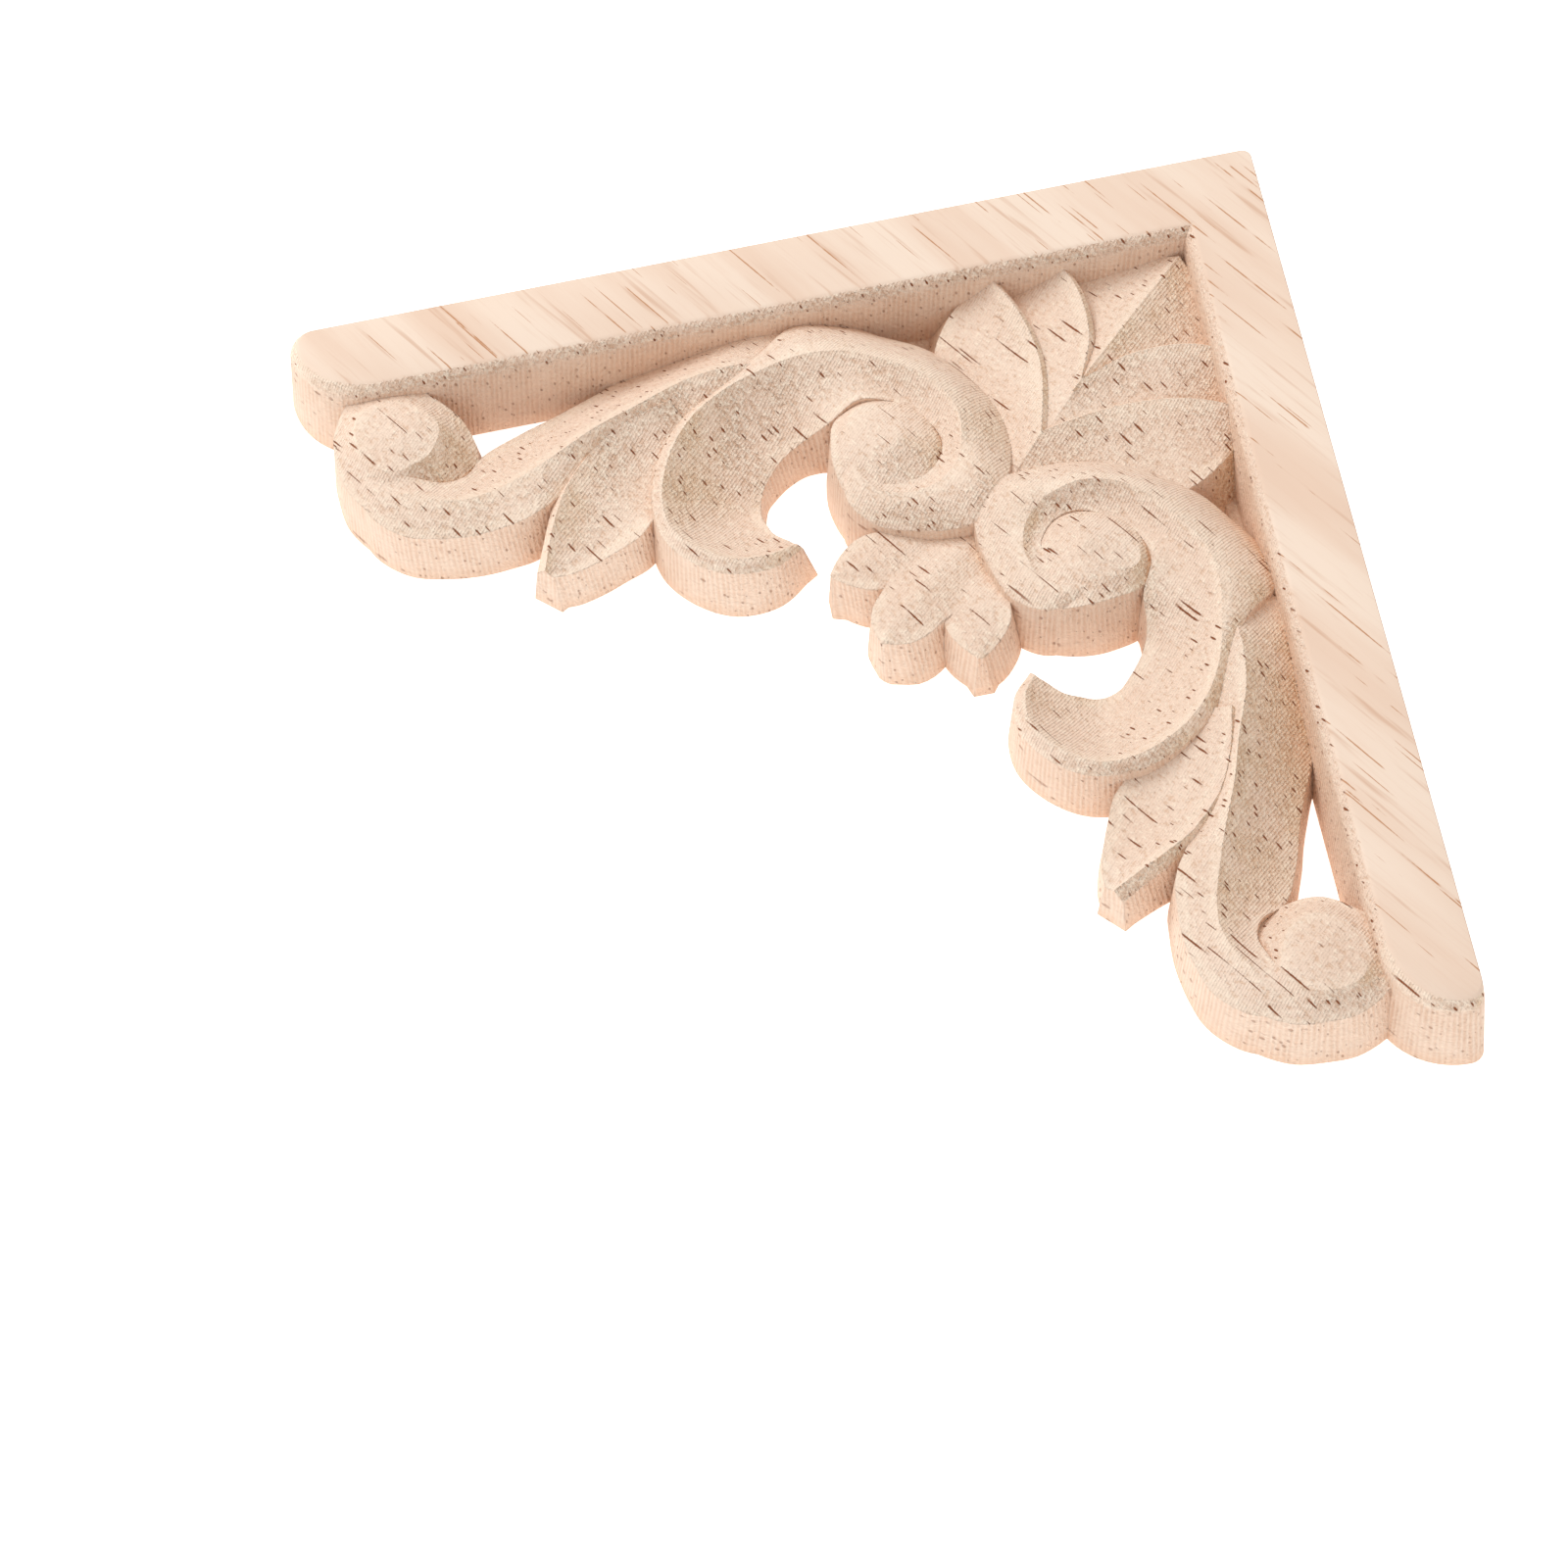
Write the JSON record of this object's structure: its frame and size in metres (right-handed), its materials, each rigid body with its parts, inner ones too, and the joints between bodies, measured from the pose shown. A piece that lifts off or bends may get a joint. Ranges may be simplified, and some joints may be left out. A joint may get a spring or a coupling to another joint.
{
  "type": "corner onlay",
  "caption": "Carved wooden corner onlay: L-shaped frame bar with acanthus scrolls, a palmette in the corner and a bud on the diagonal, flat at the back.",
  "frame": {"origin": "centre of the bounding box in X and Y, on the flat back at Z = 0", "axes": "+Z is the carved face's outward normal, the outer corner points to (+X, +Y), one arm runs along -X and the other along -Y"},
  "size_m": [0.101, 0.101, 0.01],
  "materials": {
    "wood": "pale unfinished wood, cut by a machine and unsanded, dry and matt, with short brown pores along the grain"
  },
  "bodies": {
    "root": {"corner_onlay": "wood"}
  },
  "joints": []
}
